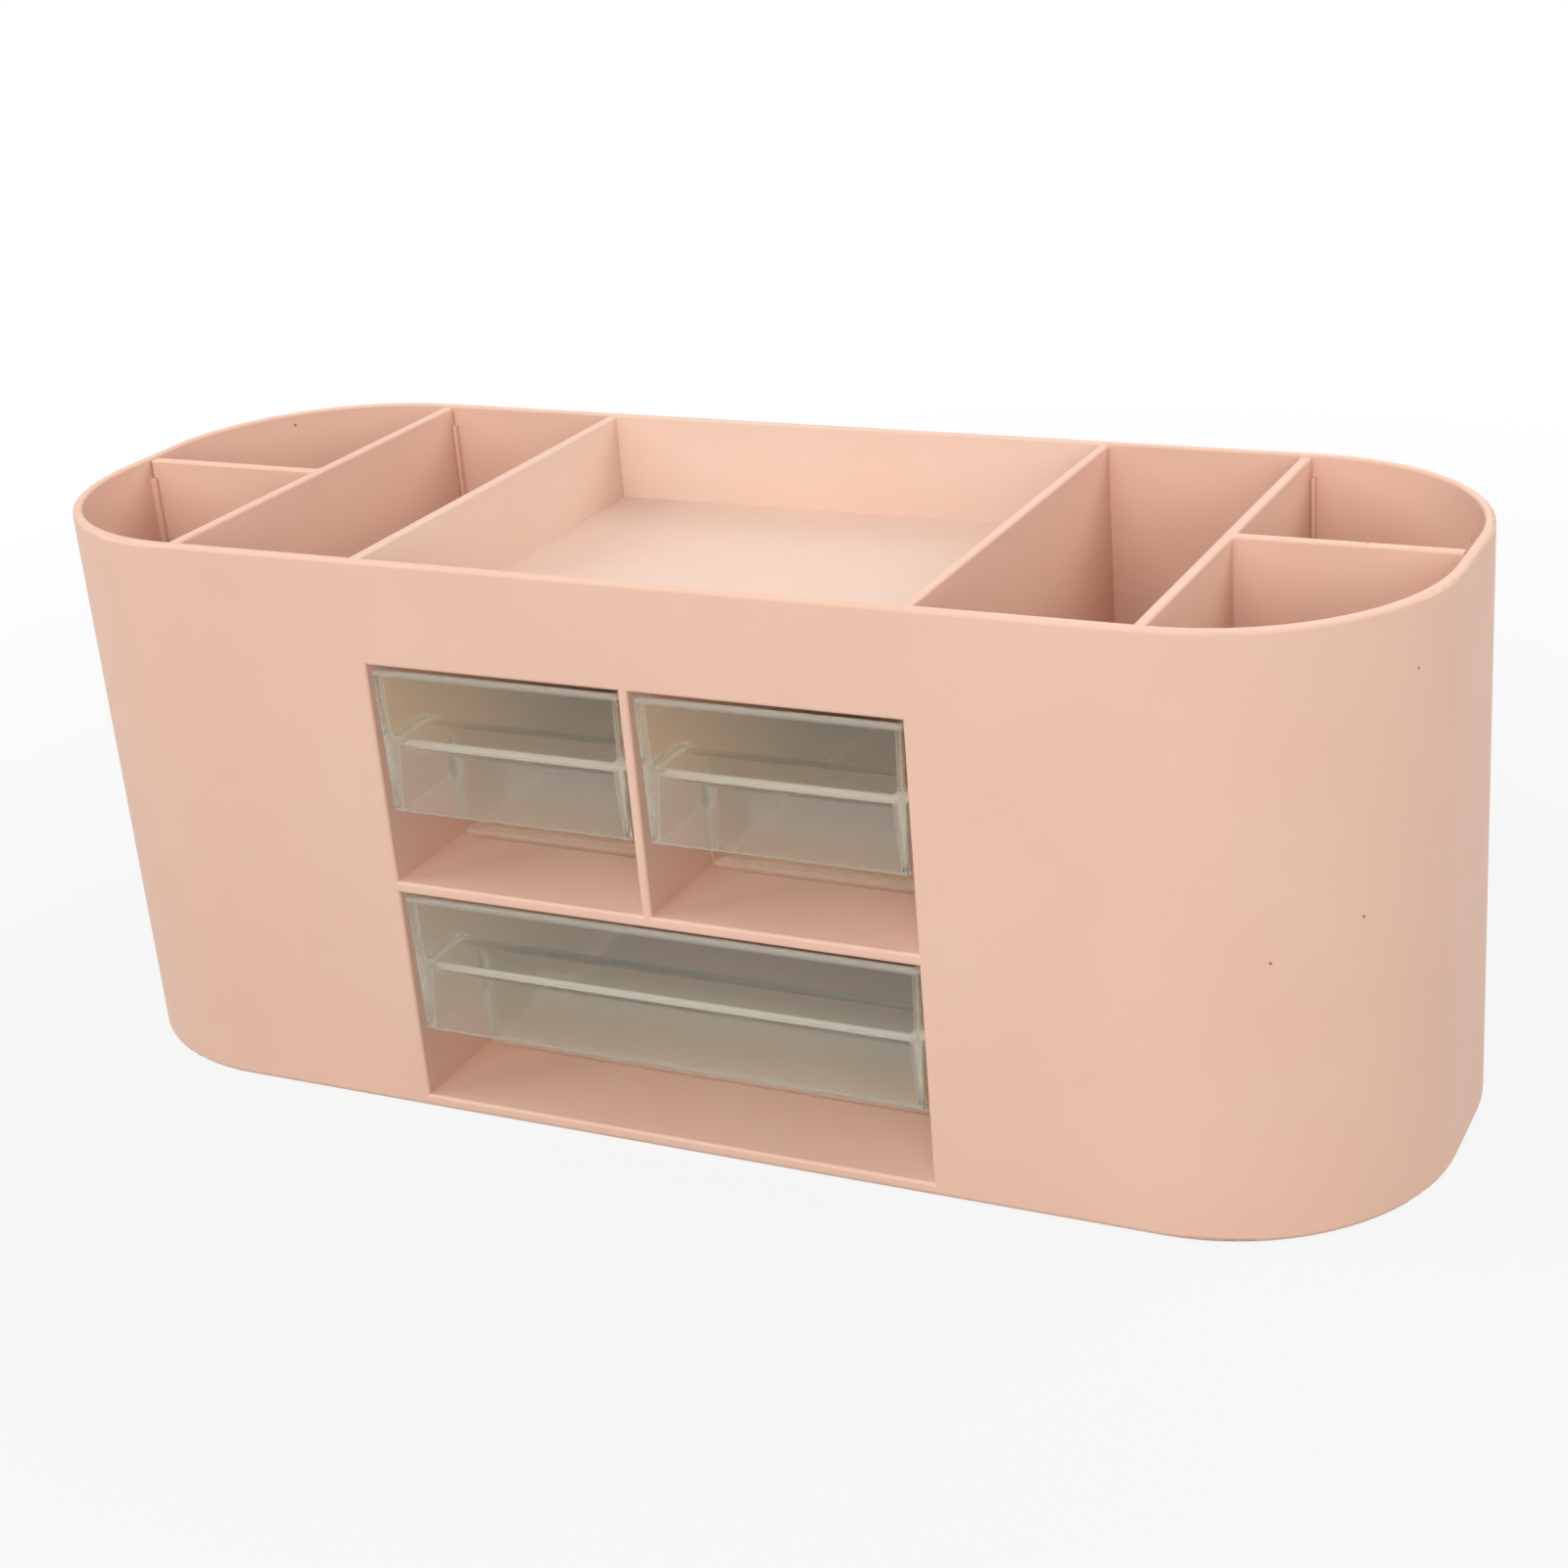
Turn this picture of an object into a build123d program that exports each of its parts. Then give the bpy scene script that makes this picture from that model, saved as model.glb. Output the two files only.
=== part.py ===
from build123d import *
import os

# Desk pen holder: an open moulded body with rounded ends, a shallow tray over three clear drawers,
# and two lift-out T partitions that split the pen wells.
# Origin at the middle of the bottom face, X along the length, the drawers open towards -Y, Z up.

# Body
body_length = 290.0
body_depth = 104.4
body_height = 117.6
end_flat = 17.4
wall = 2.0
base_thickness = 2.8
rim_round = 0.9
rim_inner_round = 0.5
foot_round = 1.2

# Drawer housing
bay_width = 112.4
tray_depth = 18.6
housing_wall = 2.1
shelf_thickness = 2.4
divider_thickness = 2.0
tray_floor_thickness = 2.4
opening_round = 0.7

# Partitions and their guide ribs
partition_thickness = 2.2
partition_before_curve = 2.0
partition_drop = 0.3
partition_round = 0.6
partition_root_round = 1.0
partition_end_gap = 0.4
partition_floor_gap = 0.3
rib_width = 0.8
rib_depth = 1.3
rib_gap = 0.15
rib_drop = 4.0

# Drawers
drawer_setback = 0.9
drawer_back_gap = 0.4
drawer_side_gap = 0.5
drawer_head_gap = 1.4
drawer_floor_gap = 0.3
drawer_taper = 1.1
drawer_wall = 1.7
drawer_floor = 1.8
lip_wall = 1.5
drawer_foot_round = 2.0
drawer_inside_round = 1.5
drawer_edge_round = 0.5
lip_edge_height = 15.0
pocket_height = 28.5
pocket_roof = 1.8
pocket_depth = 18.6
pocket_draft = 1.0
pocket_round = 0.8
pocket_corner_round = 2.8
step_round = 11.5

# Room that a cut runs past the faces that it opens
overrun = 1.0

# Levels and faces that follow from the sizes above
front_face = -body_depth / 2
inner_front = front_face + wall
inner_depth = body_depth - 2 * wall
inner_end = body_length / 2 - wall
corner_radius = (body_depth - end_flat) / 2
partition_place = body_length / 2 - corner_radius - partition_before_curve
tray_bottom = body_height - tray_depth - tray_floor_thickness
bay_height = (tray_bottom - shelf_thickness - base_thickness) / 2
lower_bay_floor = base_thickness
shelf_bottom = lower_bay_floor + bay_height
upper_bay_floor = shelf_bottom + shelf_thickness
partition_top = body_height - partition_drop
upper_bay_width = (bay_width - divider_thickness) / 2
upper_bay_middle = (divider_thickness + upper_bay_width) / 2


def block(x_range, y_range, z_range):
    """Box between two limits on each axis."""
    size = [high - low for low, high in (x_range, y_range, z_range)]
    middle = [(high + low) / 2 for low, high in (x_range, y_range, z_range)]
    return Pos(*middle) * Box(*size)


def plan(inset):
    """Outline of the body from above, drawn in by an inset."""
    return RectangleRounded(body_length - 2 * inset, body_depth - 2 * inset, corner_radius - inset)


def top_edges(shape):
    """Edges that bound the highest face of a shape."""
    return shape.faces().sort_by(Axis.Z)[-1].edges()


# Outer wall with three drawer openings
def outer_wall():
    shell = extrude(plan(0), body_height)
    shell = fillet(shell.edges().group_by(Axis.Z)[0], foot_round)
    shell = fillet(shell.edges().group_by(Axis.Z)[-1], rim_round)
    shell -= Pos(0, 0, -overrun) * extrude(plan(wall), body_height + 2 * overrun)
    rim = shell.faces().sort_by(Axis.Z)[-1]
    shell = fillet(rim.inner_wires()[0].edges(), rim_inner_round)
    through = (front_face - overrun, inner_front + overrun)
    for side in (-1, 1):
        inner = side * divider_thickness / 2
        outer = side * bay_width / 2
        shell -= block(sorted((inner, outer)), through, (upper_bay_floor, tray_bottom))
    shell -= block((-bay_width / 2, bay_width / 2), through, (lower_bay_floor, shelf_bottom))
    front = shell.faces().sort_by(Axis.Y)[0]
    opening_edges = [edge for wire in front.inner_wires() for edge in wire.edges()]
    return fillet(opening_edges, opening_round)


# Walls inside the body
def base_floor():
    return extrude(plan(wall), base_thickness)


def housing_side(side):
    near = side * bay_width / 2
    far = side * (bay_width / 2 + housing_wall)
    upright = block(sorted((near, far)), (inner_front, -inner_front), (base_thickness, partition_top))
    return fillet(top_edges(upright).filter_by(Axis.Y), partition_round)


def housing_plate(bottom, thickness):
    """Level plate across the housing, from the front wall to the back wall."""
    half = bay_width / 2
    return block((-half, half), (inner_front, -inner_front), (bottom, bottom + thickness))


def drawer_divider():
    half = divider_thickness / 2
    return block((-half, half), (inner_front, -inner_front), (upper_bay_floor, tray_bottom))


# Ribs that hold the ends of a T partition, two at each end
def guide_ribs(side):
    well = extrude(plan(wall), body_height)
    levels = (base_thickness, partition_top - rib_drop)
    near = partition_thickness / 2 + rib_gap
    far = near + rib_width
    ribs = []
    for flank in (-1, 1):
        band = sorted((flank * near, flank * far))
        cross_band = [side * partition_place + edge for edge in band]
        for wall_side in (-1, 1):
            root = wall_side * (inner_depth / 2 + overrun)
            tip = wall_side * (inner_depth / 2 - rib_depth)
            ribs.append(block(cross_band, sorted((root, tip)), levels) & well)
        root = side * inner_end
        tip = side * (inner_end - rib_depth)
        ribs.append(block(sorted((root, tip)), band, levels))
    return Compound(children=[rib.solid() for rib in ribs])


# T partition that drops into the ribs
def partition(side):
    half = partition_thickness / 2
    levels = (base_thickness + partition_floor_gap, partition_top)
    cross_faces = (partition_place - half, partition_place + half)
    cross_end = inner_depth / 2 - partition_end_gap
    stem_end = inner_end - partition_end_gap
    cross = block(sorted(side * face for face in cross_faces), (-cross_end, cross_end), levels)
    stem = block(sorted((side * partition_place, side * stem_end)), (-half, half), levels)
    tee = cross + stem
    junction = (side * (partition_place + half), 0, base_thickness)
    roots = tee.edges().filter_by(Axis.Z).sort_by_distance(junction)[:2]
    tee = fillet(roots, partition_root_round)
    return fillet(top_edges(tee), partition_round)


# Clear drawer with a finger pocket under its front, drawn in a bay whose floor is at height zero
drawer_front = front_face + drawer_setback
drawer_back = -inner_front - drawer_back_gap
drawer_length = drawer_back - drawer_front
drawer_middle = (drawer_back + drawer_front) / 2
drawer_top = bay_height - drawer_head_gap
tray_level = drawer_floor_gap + drawer_floor
panel_back = drawer_front + drawer_wall
step_front = panel_back + pocket_depth
step_back = step_front + drawer_wall
pocket_middle = (panel_back + step_front) / 2
pocket_top = pocket_height + pocket_roof
bar_foot = -overrun
bar_head = drawer_top + 2 * overrun


def half_width(bay, level):
    """Half the outer width of a drawer at a height above the bay floor."""
    fall_share = (drawer_top - level) / (drawer_top - drawer_floor_gap)
    return bay / 2 - drawer_side_gap - drawer_taper * fall_share


def pocket_half_width(bay, level):
    """Half the width of a finger pocket, which narrows from the lip's edge to its roof."""
    rise_share = (level - lip_edge_height) / (pocket_height - lip_edge_height)
    return half_width(bay, lip_edge_height) - lip_wall - pocket_draft * rise_share


def tapered_bar(low, high):
    """Bar along the depth, taller than a drawer, from its half widths at the foot and at the head."""
    points = ((-low, bar_foot), (low, bar_foot), (high, bar_head), (-high, bar_head))
    section = make_face(Plane.XZ.offset(-drawer_middle) * Polyline(*points, close=True))
    return extrude(section, drawer_length / 2 + overrun, both=True)


def drawer_bar(bay, inset):
    """Bar with the sides of a drawer, drawn in by an inset."""
    return tapered_bar(half_width(bay, bar_foot) - inset, half_width(bay, bar_head) - inset)


def pocket_bar(bay):
    """Bar with the sides of a finger pocket and round corners against the tray."""
    sides = tapered_bar(pocket_half_width(bay, bar_foot), pocket_half_width(bay, bar_head))
    length = pocket_depth + drawer_wall + pocket_corner_round
    corners = RectangleRounded(2 * pocket_half_width(bay, lip_edge_height), length, pocket_corner_round)
    return sides & Pos(0, step_front - length / 2, bar_foot) * extrude(corners, bar_head - bar_foot)


def side_outline(*points):
    """Face in side view from points of depth and height."""
    return make_face(Plane.YZ * Polyline(*points, close=True))


def drawer_outside():
    """Side view of the outside: the tray stands behind the pocket, and the front hangs over it."""
    return side_outline(
        (drawer_front, lip_edge_height),
        (step_front, lip_edge_height),
        (step_front, drawer_floor_gap),
        (drawer_back, drawer_floor_gap),
        (drawer_back, drawer_top),
        (drawer_front, drawer_top),
    )


def drawer_inside():
    """Side view of the hollow: a deep tray with an arched step up to the pocket's roof."""
    tray_back = drawer_back - drawer_wall
    outline = side_outline(
        (panel_back, pocket_top),
        (step_back, pocket_top),
        (step_back, tray_level),
        (tray_back, tray_level),
        (tray_back, drawer_top + overrun),
        (panel_back, drawer_top + overrun),
    )
    step_corner = outline.vertices().sort_by_distance((0, step_back, pocket_top))[0]
    return fillet(step_corner, step_round)


def finger_pocket():
    """Side view of the pocket between the front and the tray, open at its foot and arched at the tray."""
    outline = side_outline(
        (panel_back, bar_foot),
        (step_front, bar_foot),
        (step_front, pocket_height),
        (panel_back, pocket_height),
    )
    arch_corner = outline.vertices().sort_by_distance((0, step_front, pocket_height))[0]
    outline = fillet(arch_corner, step_round - drawer_wall)
    panel_corner = outline.vertices().sort_by_distance((0, panel_back, pocket_height))[0]
    return fillet(panel_corner, pocket_round)


def tray_edges(shape):
    """Edges round the foot of a tray and up its four corners, without those of the front panel."""
    foot = shape.faces().sort_by(Axis.Z)[0].edges()
    uprights = [
        edge
        for edge in shape.edges()
        if edge.center().Y > pocket_middle and edge.bounding_box().size.Z > edge.length / 2
    ]
    return foot + uprights


def drawer(bay, middle, bay_floor):
    tray = extrude(drawer_outside(), bay, both=True) & drawer_bar(bay, 0)
    tray = fillet(tray_edges(tray), drawer_foot_round)
    hollow = extrude(drawer_inside(), bay, both=True) & drawer_bar(bay, drawer_wall)
    tray -= fillet(tray_edges(hollow), drawer_inside_round)
    tray -= extrude(finger_pocket(), bay, both=True) & pocket_bar(bay)
    front = tray.faces().sort_by(Axis.Y)[0]
    tray = fillet(front.edges() + top_edges(tray), drawer_edge_round)
    return Pos(middle, 0, bay_floor) * tray


# All pieces by name
nodes = {
    "outer_wall": outer_wall(),
    "base_floor": base_floor(),
    "left_housing_wall": housing_side(-1),
    "right_housing_wall": housing_side(1),
    "tray_floor": housing_plate(tray_bottom, tray_floor_thickness),
    "drawer_shelf": housing_plate(shelf_bottom, shelf_thickness),
    "drawer_divider": drawer_divider(),
    "left_guide_ribs": guide_ribs(-1),
    "right_guide_ribs": guide_ribs(1),
    "left_partition": partition(-1),
    "right_partition": partition(1),
    "upper_left_drawer": drawer(upper_bay_width, -upper_bay_middle, upper_bay_floor),
    "upper_right_drawer": drawer(upper_bay_width, upper_bay_middle, upper_bay_floor),
    "lower_drawer": drawer(bay_width, 0, lower_bay_floor),
}

os.makedirs("parts", exist_ok=True)
for name, shape in nodes.items():
    export_step(shape, f"parts/{name}.step")
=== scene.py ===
# %% [markdown]
# # A desk pen holder with three clear drawers
# The object is a set of six injection mouldings. A long pink body has round ends, a shallow tray on top of a
# drawer housing and a pen well at each end. Two T partitions drop into the wells, and three see-through drawers
# run in the housing. All the shapes come from CAD, in metres and in the frame that the joints use, so this lesson
# is about dressing exact solids: one camera, two plastics with real surface detail, and a plain white studio.

# %% Load the CAD frame
import math

import bpy
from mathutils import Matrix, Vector


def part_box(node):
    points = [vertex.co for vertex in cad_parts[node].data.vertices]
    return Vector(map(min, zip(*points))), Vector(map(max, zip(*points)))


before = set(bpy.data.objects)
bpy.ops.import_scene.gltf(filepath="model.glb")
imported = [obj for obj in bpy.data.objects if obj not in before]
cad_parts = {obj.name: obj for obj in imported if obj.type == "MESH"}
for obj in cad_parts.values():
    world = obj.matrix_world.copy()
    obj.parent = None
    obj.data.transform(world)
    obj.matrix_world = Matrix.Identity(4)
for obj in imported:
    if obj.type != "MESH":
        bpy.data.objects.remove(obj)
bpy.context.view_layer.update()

print("CAD nodes:", ", ".join(sorted(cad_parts)))

# %% [markdown]
# ## Who is made of what
# The body is one moulding, but its walls arrive as separate nodes so that every compartment stays open for the
# physics. They share one plastic with the two partitions. The drawers are the only clear pieces. Sorting the
# nodes once, by name, keeps the later cells short.

# %% Sort the pieces
drawers = [node for name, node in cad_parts.items() if name.endswith("_drawer")]
pink_pieces = [node for name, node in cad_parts.items() if not name.endswith("_drawer")]
print(len(pink_pieces), "pink pieces and", len(drawers), "clear drawers")

# %% [markdown]
# ## Camera
# The picture was taken from the front right, a little above the rim, with a short telephoto lens. Its place was
# found by fitting the rim, the foot and the drawer openings of the CAD model to the picture. A shift of the lens
# stands for the crop: the lens was aimed a little to the right of the middle of the frame. Depth of field stays
# off, because the whole object is sharp.

# %% Camera
tilt_roll_turn = (66.788, 3.7133, 24.0063)
lens = bpy.data.cameras.new("photo_camera")
lens.sensor_width = 36.0
lens.lens = 62.474
lens.shift_x = -0.0684
lens.shift_y = 0.0091
lens.clip_start = 0.01
camera = bpy.data.objects.new("photo_camera", lens)
camera.location = (0.24463, -0.45205, 0.27122)
camera.rotation_euler = [math.radians(angle) for angle in tilt_roll_turn]
bpy.context.scene.collection.objects.link(camera)
bpy.context.scene.camera = camera
print("camera stands", round(camera.location.length, 3), "m from the foot of the holder")

# %% [markdown]
# ## A short way to write node trees
# Both plastics are built from procedural nodes. A few small helpers keep that readable: one starts a material and
# hands back its tree and its main shader, another adds a node and fills its inputs, with a plain value or with
# the output of an earlier node. The rest are one node each: a noise, a change of range, a two-colour ramp, a mix,
# and two ways to join masks. Every texture uses object coordinates, which are metres here, so a scale of 1000
# means features of about a millimetre.

# %% Node helpers
def start_material(name):
    made = bpy.data.materials.new(name)
    made.use_nodes = True
    tree = made.node_tree
    return made, tree, tree.nodes["Principled BSDF"]


def add(tree, kind, inputs=None, **traits):
    node = tree.nodes.new("ShaderNode" + kind)
    for trait, value in traits.items():
        setattr(node, trait, value)
    for name, value in (inputs or {}).items():
        if isinstance(value, bpy.types.NodeSocket):
            tree.links.new(value, node.inputs[name])
        else:
            node.inputs[name].default_value = value
    return node


def noise(tree, place, scale, detail=2.0):
    return add(tree, "TexNoise", {"Vector": place, "Scale": scale, "Detail": detail}).outputs[0]


def remap(tree, value, low, high, to_low=0.0, to_high=1.0):
    spread = {"Value": value, "From Min": low, "From Max": high, "To Min": to_low, "To Max": to_high}
    return add(tree, "MapRange", spread).outputs[0]


def shade(tree, amount, *stops):
    ramp = add(tree, "ValToRGB", {0: amount})
    for end, (position, colour) in zip(ramp.color_ramp.elements, stops):
        end.position, end.color = position, (*colour, 1.0)
    return ramp.outputs[0]


def blend(tree, amount, first, second):
    return add(tree, "MixRGB", {0: amount, 1: first, 2: second}).outputs[0]


def both(tree, first, second):
    return add(tree, "Math", {0: first, 1: second}, operation="MULTIPLY").outputs[0]


def most(tree, first, second):
    return add(tree, "Math", {0: first, 1: second}, operation="MAXIMUM").outputs[0]


print("node helpers ready in Blender", bpy.app.version_string)

# %% [markdown]
# ## Satin pink plastic: colour
# The body is moulded from a coloured plastic with a satin tool finish. Moulded colour is never quite even, so a
# slow noise moves it a little between a warmer and a paler pink. A few dark specks, smaller than a pinhead, are
# caught in such mouldings. They are cells of which only a few hold a dot. Along the edges the pink is painted a
# touch paler, a painted highlight on the rounded rims: a bevelled normal differs from the true one only there,
# which makes the mask.

# %% Satin pink plastic: colour
pink_plastic, tree, pink = start_material("satin_pink_plastic")
place = add(tree, "TexCoord").outputs["Object"]
warm_pink, pale_pink = (0.780, 0.502, 0.384), (0.802, 0.530, 0.409)
speck_brown, pale_edge_highlight_pink = (0.30, 0.17, 0.11, 1.0), (0.83, 0.585, 0.475, 1.0)
flow_scale, speck_scale, pale_edge_highlight_width = 28.0, 190.0, 0.0008
moulded = shade(tree, noise(tree, place, flow_scale, 4.0), (0.32, warm_pink), (0.68, pale_pink))

cells = add(tree, "TexVoronoi", {"Vector": place, "Scale": speck_scale})
dot = remap(tree, cells.outputs["Distance"], 0.075, 0.040)
picked = remap(tree, cells.outputs["Color"], 0.85, 0.87)
speckled = blend(tree, both(tree, dot, picked), moulded, speck_brown)

# painted highlight: the edges of the pink body are painted paler
true_normal = add(tree, "NewGeometry").outputs["Normal"]
round_normal = add(tree, "Bevel", {"Radius": pale_edge_highlight_width}, samples=4).outputs[0]
same = add(tree, "VectorMath", {0: true_normal, 1: round_normal}, operation="DOT_PRODUCT").outputs["Value"]
pale_edge_highlight = remap(tree, same, 0.995, 0.90, 0.0, 0.35)
pale_edge_highlighted = blend(tree, pale_edge_highlight, speckled, pale_edge_highlight_pink)
print("pink from", warm_pink, "to", pale_pink)

# %% [markdown]
# ## Satin pink plastic: painted light in the tray
# The inside of the tray is painted paler and greyer in soft patches. This is painted light, standing in for a
# brighter, more neutral light than the pink walls bounce into it. The tray's floor fills the plan of the tray, so
# its own box
# tells which faces count: all that are within its length and depth and not below its top. A box test in object
# coordinates needs no seams and no second material.


# %% Satin pink plastic: painted light in the tray
def within(tree, value, limit):
    size = add(tree, "Math", {0: value}, operation="ABSOLUTE").outputs[0]
    return add(tree, "Math", {0: size, 1: limit}, operation="LESS_THAN").outputs[0]


half_length, half_depth, tray_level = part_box("tray_floor")[1]
touch = 0.0003
spot = add(tree, "SeparateXYZ", {0: place}).outputs
in_plan = both(tree, within(tree, spot["X"], half_length + touch), within(tree, spot["Y"], half_depth + touch))
above = add(tree, "Math", {0: spot["Z"], 1: tray_level - touch}, operation="GREATER_THAN").outputs[0]
# painted light: the inside of the tray is painted paler and greyer in soft patches
patch_scale, faintest_painted_light, strongest_painted_light = 45.0, 0.60, 0.85
painted_light_patches = remap(tree, noise(tree, place, patch_scale, 4.0), 0.35, 0.65, faintest_painted_light, strongest_painted_light)
tray_painted_light = both(tree, both(tree, in_plan, above), painted_light_patches)
painted_light_pink = (0.775, 0.605, 0.505, 1.0)
tree.links.new(blend(tree, tray_painted_light, pale_edge_highlighted, painted_light_pink), pink.inputs["Base Color"])
print("tray with painted light", round(2 * half_length, 4), "by", round(2 * half_depth, 4), "m, from", round(tray_level, 4), "up")

# %% [markdown]
# ## Satin pink plastic: surface
# The tool was blasted, so the skin has a grain of a few tenths of a millimetre that spreads the highlights. Thin
# walls also draw in a little as they cool, which shows as a very slow wave in the reflections. Two bumps stand for
# these, one on top of the other. The roughness wanders a little, and the edges with the painted highlight are
# smoother than the rest.

# %% Satin pink plastic: surface
sink_depth, grain_depth = 0.0006, 0.00008
sink_wave, grain = noise(tree, place, 16.0, 1.0), noise(tree, place, 1500.0, 3.0)
sink = add(tree, "Bump", {"Strength": 0.25, "Distance": sink_depth, "Height": sink_wave}).outputs[0]
skin = add(tree, "Bump", {"Strength": 0.22, "Distance": grain_depth, "Height": grain, "Normal": sink})
tree.links.new(skin.outputs[0], pink.inputs["Normal"])

smoothest, roughest = 0.40, 0.48
satin = remap(tree, noise(tree, place, 70.0, 5.0), 0.30, 0.70, smoothest, roughest)
smoother = both(tree, pale_edge_highlight, 0.25)
satin_worn = add(tree, "Math", {0: satin, 1: smoother}, operation="SUBTRACT").outputs[0]
tree.links.new(satin_worn, pink.inputs["Roughness"])
pink.inputs["IOR"].default_value = 1.42
pink.inputs["Specular IOR Level"].default_value = 0.2
for piece in pink_pieces:
    piece.material_slots[0].material = pink_plastic
print("satin pink on", len(pink_pieces), "pieces")

# %% [markdown]
# ## Clear drawer plastic: where is what
# The drawers are one see-through plastic, but not every wall looks the same. The front panel is touched by hands,
# and its lower half, behind which fingers pull, is the dullest. The upper drawers have an olive cast, which is
# clearest above the pocket, and the wide drawer, a moulding of its own, is greener. Masks made from object
# coordinates find these places. The two rows have the same height, so the height wraps round from one row to the
# next and one set of masks serves all three drawers.

# %% Clear drawer plastic: where is what
clear_plastic, tree, clear = start_material("clear_drawer_plastic")
place = add(tree, "TexCoord").outputs["Object"]
along = add(tree, "SeparateXYZ", {0: place}).outputs
panel_face, lower_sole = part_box("lower_drawer")[0][1:]
lower_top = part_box("lower_drawer")[1][2]
upper_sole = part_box("upper_left_drawer")[0][2]
spare = 0.0005
row = {0: along["Z"], 1: upper_sole - spare, 2: lower_sole - spare}
height = add(tree, "Math", row, operation="WRAP").outputs[0]

panel_inside, panel_behind = panel_face + 0.0013, panel_face + 0.0018
roof_low, roof_high = lower_sole + 0.0280, lower_sole + 0.0340
on_panel = remap(tree, along["Y"], panel_inside, panel_behind, 1.0, 0.0)
over_pocket = remap(tree, height, roof_low, roof_high)
upper_row = remap(tree, along["Z"], lower_top, upper_sole - spare)
olive_share = both(tree, over_pocket, upper_row)
print("rows of drawers start at", round(lower_sole, 4), "and", round(upper_sole, 4))

# %% [markdown]
# ## Clear drawer plastic: tint, haze and scuffs
# A clear solid with real wall thickness needs a transmitting shader with the plastic's index of refraction. Where
# Transmission Weight is below one, a small share of the light is scattered at the surface instead. That thin haze
# makes such drawers look smoky rather than like window glass. Flow of the melt leaves slow ripples and use leaves
# fine scuffs, so the surface bends and blurs what is behind it a little.

# %% Clear drawer plastic: tint, haze and scuffs
melt = noise(tree, place, 22.0, 3.0)
olive = shade(tree, melt, (0.3, (0.925, 0.90, 0.67)), (0.7, (0.935, 0.915, 0.70)))
smoke = shade(tree, melt, (0.3, (0.85, 0.885, 0.80)), (0.7, (0.865, 0.90, 0.82)))
green_smoke = shade(tree, melt, (0.3, (0.77, 0.86, 0.78)), (0.7, (0.79, 0.875, 0.80)))
wide_tray, small_tray = (0.92, 0.94, 0.87, 1.0), (0.96, 0.945, 0.86, 1.0)
tray_tint = blend(tree, upper_row, wide_tray, small_tray)
front_tint = blend(tree, olive_share, blend(tree, upper_row, green_smoke, smoke), olive)
tree.links.new(blend(tree, on_panel, tray_tint, front_tint), clear.inputs["Base Color"])

lip_passes, pane_passes, tray_passes = 0.93, 0.94, 0.995
front_passes = remap(tree, over_pocket, 0.0, 1.0, lip_passes, pane_passes)
passes = remap(tree, on_panel, 0.0, 1.0, tray_passes, front_passes)
tree.links.new(passes, clear.inputs["Transmission Weight"])
scuffs = remap(tree, noise(tree, place, 420.0, 6.0), 0.45, 0.75, 0.015, 0.06)
lip_dulled, pane_dulled = 0.13, 0.04
touched = both(tree, on_panel, remap(tree, over_pocket, 0.0, 1.0, lip_dulled, pane_dulled))
dulled = add(tree, "Math", {0: scuffs, 1: touched}, operation="ADD").outputs[0]
tree.links.new(dulled, clear.inputs["Roughness"])
ripple_depth = 0.0004
ripple = add(tree, "Bump", {"Strength": 0.12, "Distance": ripple_depth, "Height": melt})
tree.links.new(ripple.outputs[0], clear.inputs["Normal"])
clear.inputs["IOR"].default_value = 1.48
print("clear plastic bends light by", round(clear.inputs["IOR"].default_value, 2))

# %% [markdown]
# ## Milky edges and scuffed soles
# Straight through a wall this plastic looks clear, but light that runs along inside a wall meets more and more of
# the haze, so edges, ribs and corners look milky. Where a ray leaves the plastic, Ray Length is the way that it has
# just gone inside, so a long way means more milk. A bevelled normal finds the moulded edges and makes them milky
# as well, a painted highlight lit by the lamps that stands in for light piped along the walls. The whole top edge
# is milky too, painted grey as shade, and the sole is scuffed by sliding. The largest of these shares wins, so that
# no place gets more milk than it should where two of them meet.

# %% Milky edges and scuffed soles
path = add(tree, "LightPath").outputs
shape = add(tree, "NewGeometry").outputs
clear_way, cloudy_way, highlight_bevel_width = 0.0025, 0.006, 0.0006
way_inside = remap(tree, path["Ray Length"], clear_way, cloudy_way, 0.0, 0.9)
clouded = both(tree, way_inside, shape["Backfacing"])
# painted highlight: milky edges stand in for light piped along the walls
highlight_bevel_normal = add(tree, "Bevel", {"Radius": highlight_bevel_width}, samples=4).outputs[0]
same = add(tree, "VectorMath", {0: shape["Normal"], 1: highlight_bevel_normal}, operation="DOT_PRODUCT").outputs["Value"]
milky_edge_highlight = remap(tree, same, 0.99, 0.85, 0.0, 0.5)

shaded_top_milk, sole_milk = 0.85, 0.75
at_sole = remap(tree, height, lower_sole + 0.0018, lower_sole + 0.0036, 1.0, 0.0)
at_foot = remap(tree, height, lower_sole + 0.0006, lower_sole + 0.0012, 1.0, 0.0)
at_top = remap(tree, height, lower_top - 0.0011, lower_top - 0.0005)
# the top share is painted shade on the top edge; the sole share is a scuff
shaded_top_and_scuffed_sole = most(tree, both(tree, at_top, shaded_top_milk), both(tree, at_sole, sole_milk))
milk_share = most(tree, most(tree, clouded, milky_edge_highlight), shaded_top_and_scuffed_sole)
print("milk starts after", 1000 * clear_way, "mm inside the plastic")

# %% [markdown]
# ## Colour of the milk
# Edges scatter a warm white. The top edge is painted greyer, a painted shade under the roof of the bay. The sole
# is painted with the pink of the shelf below it, a painted reflection, and its rounded foot is palest, a painted
# highlight. One colour that follows the height does for all of them. The milk is lit from both sides, half
# reflected and half let through.

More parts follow.
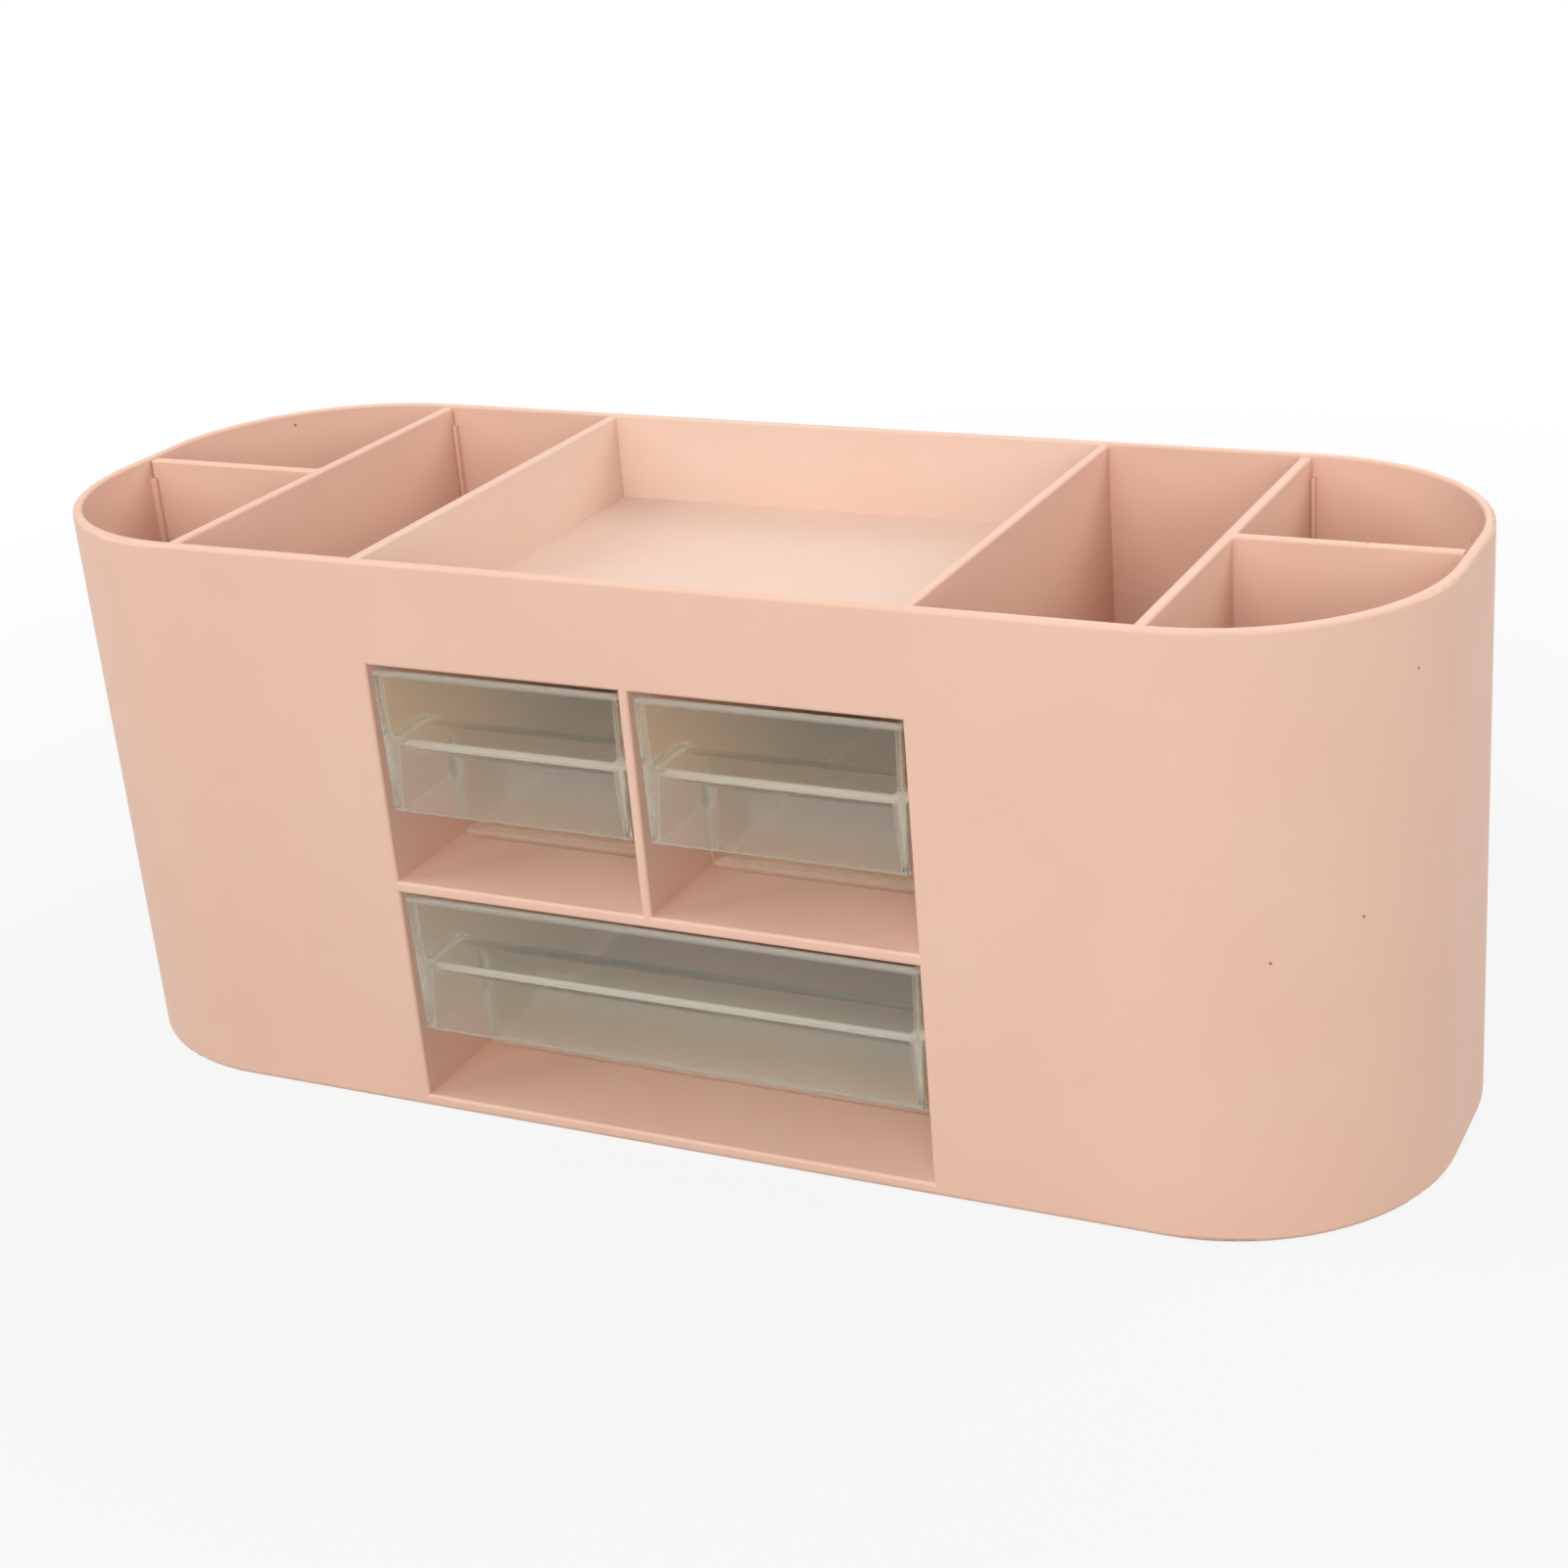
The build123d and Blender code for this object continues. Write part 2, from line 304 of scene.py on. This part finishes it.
# %% Colour of the milk
# painted shade: the top edge of the drawers is painted grey
milk_white, painted_shade_grey = (0.90, 0.89, 0.84, 1.0), (0.66, 0.64, 0.565, 1.0)
# painted reflection of the shelf's pink on the sole, and a painted highlight on the rounded foot
painted_shelf_reflection, painted_foot_highlight = (0.88, 0.63, 0.53, 1.0), (1.0, 0.86, 0.78, 1.0)
upper_milk = blend(tree, at_top, milk_white, painted_shade_grey)
milk_colour = blend(tree, at_sole, upper_milk, blend(tree, at_foot, painted_shelf_reflection, painted_foot_highlight))
milk_front = add(tree, "BsdfDiffuse", {"Color": milk_colour}).outputs[0]
milk_behind = add(tree, "BsdfTranslucent", {"Color": milk_colour}).outputs[0]
milk = add(tree, "MixShader", {0: 0.5, 1: milk_front, 2: milk_behind}).outputs[0]
milky = add(tree, "MixShader", {0: milk_share, 1: clear.outputs[0], 2: milk}).outputs[0]
print("drawer tree has", len(tree.nodes), "nodes")

# %% [markdown]
# ## Light through the drawers
# In the real thing daylight falls straight through the clear fronts and lights the pink bays behind them. A path
# tracer finds that light only by chance through a refracting solid. So for rays that look for a lamp, and for
# light that has already bounced off the pink walls, the drawers count as clear film. A ray that has been mirrored
# three times inside a wall is let out too, because the tracer would soon drop it and leave a black edge. All else
# that the camera sees goes through the true solid.

# %% Light through the drawers
film_tint, mirrored_often = (1.0, 1.0, 0.97, 1.0), 2.5
film = add(tree, "BsdfTransparent", {"Color": film_tint}).outputs[0]
often = {0: path["Glossy Depth"], 1: mirrored_often}
trapped = add(tree, "Math", often, operation="GREATER_THAN").outputs[0]
let_out = add(tree, "MixShader", {0: trapped, 1: milky, 2: film}).outputs[0]
lamp_side = add(tree, "MixShader", {0: path["Is Shadow Ray"], 1: let_out, 2: film}).outputs[0]
bounce_side = add(tree, "MixShader", {0: path["Is Diffuse Ray"], 1: lamp_side, 2: film}).outputs[0]
tree.links.new(bounce_side, tree.nodes["Material Output"].inputs["Surface"])
for piece in drawers:
    piece.material_slots[0].material = clear_plastic
print("clear plastic on", len(drawers), "drawers")

# %% [markdown]
# ## Studio floor
# The holder stands on plain pale paper that runs out of the picture. Near the object the paper is partly lit by
# the lamps, so it keeps a soft shadow. Further out it fades into plain white for the camera and for reflections,
# while bounced light meets a greyer sheet. A white one would brighten the sides of the holder from below, and they
# get darker towards the foot.

# %% Studio floor
reach, gap_below = 6.0, 0.0002
corners = [(-reach, -reach, 0.0), (reach, -reach, 0.0), (reach, reach, 0.0), (-reach, reach, 0.0)]
floor_mesh = bpy.data.meshes.new("studio_floor")
floor_mesh.from_pydata(corners, [], [(0, 1, 2, 3)])
floor = bpy.data.objects.new("studio_floor", floor_mesh)
floor.location.z = -gap_below
bpy.context.scene.collection.objects.link(floor)

paper, tree, sheet = start_material("white_paper")
place = add(tree, "TexCoord").outputs["Object"]
fibre = shade(tree, noise(tree, place, 900.0, 4.0), (0.3, (0.40, 0.40, 0.40)), (0.7, (0.44, 0.44, 0.44)))
tree.links.new(fibre, sheet.inputs["Base Color"])
sheet.inputs["Roughness"].default_value = 0.9
plain_white = add(tree, "Emission", {"Strength": 1.0}).outputs[0]
shadow_reach, white_from = 0.18, 0.50
distance = add(tree, "VectorMath", {0: place}, operation="LENGTH").outputs["Value"]
fade = remap(tree, distance, shadow_reach, white_from, 0.87, 1.0)
faded = add(tree, "MixShader", {0: fade, 1: sheet.outputs[0], 2: plain_white}).outputs[0]


def seen_directly(tree):
    ray = add(tree, "LightPath").outputs
    looks = most(tree, ray["Is Camera Ray"], ray["Is Glossy Ray"])
    return most(tree, looks, ray["Is Transmission Ray"])


shown = add(tree, "MixShader", {0: seen_directly(tree), 1: sheet.outputs[0], 2: faded}).outputs[0]
tree.links.new(shown, tree.nodes["Material Output"].inputs["Surface"])
floor.data.materials.append(paper)
print("paper", 2 * reach, "m wide")

# %% [markdown]
# ## Soft light
# The picture has the flat, even light of a white room: every side is bright, tops a little more, and shadows are
# soft. A dim white surround fills everything, and the camera, mirrors and clear plastic see it as plain white. That
# is a choice by kind of ray, so a white background costs no extra light on the object.

# %% Surround
world = bpy.data.worlds.new("white_room")
world.use_nodes = True
bpy.context.scene.world = world
tree = world.node_tree
room = tree.nodes["Background"]
room.inputs["Color"].default_value = (1.0, 1.0, 1.0, 1.0)
fill = 0.12
room.inputs["Strength"].default_value = fill
white = add(tree, "Background", {"Color": (1.0, 1.0, 1.0, 1.0), "Strength": 1.0}).outputs[0]
shown = add(tree, "MixShader", {0: seen_directly(tree), 1: room.outputs[0], 2: white}).outputs[0]
tree.links.new(shown, tree.nodes["World Output"].inputs["Surface"])
print("surround at", fill, "of white")

# %% [markdown]
# ## Softboxes
# Large softboxes about a metre away give the light its direction. The strongest stands high in front, and one on
# each side and one behind brighten the round ends, the wells and the rim. A weaker one stands low on the right and
# sends light deep into the drawer bays. Each is aimed at the middle of the holder, so only its place, size and
# power have to be written down.


# %% Softboxes
def softbox(name, place, size, power, aim=(0.0, 0.0, 0.06)):
    lamp = bpy.data.lights.new(name, "AREA")
    lamp.shape = "RECTANGLE"
    lamp.size, lamp.size_y = size
    lamp.energy = power
    stand = bpy.data.objects.new(name, lamp)
    stand.location = place
    stand.rotation_euler = (Vector(aim) - Vector(place)).to_track_quat("-Z", "Y").to_euler()
    bpy.context.scene.collection.objects.link(stand)
    return stand


lamps = [
    softbox("front_softbox", (0.05, -1.0, 1.10), (1.0, 0.8), 9.2),
    softbox("low_softbox", (0.60, -1.05, 0.46), (1.0, 0.5), 6.5),
    softbox("right_softbox", (0.95, 0.55, 0.9), (0.9, 0.9), 8.8),
    softbox("left_softbox", (-1.0, -0.35, 0.9), (0.9, 0.9), 8.2),
    softbox("back_softbox", (0.0, 1.1, 0.9), (1.2, 0.8), 4.6),
]
print(len(lamps), "softboxes,", round(sum(lamp.data.energy for lamp in lamps), 1), "W in all")

# %% [markdown]
# ## Finish
# The dressed model must stay within the CAD box, because the joints and the collision use the CAD shapes.

# %% Finish
bpy.context.scene.view_settings.view_transform = "Standard"
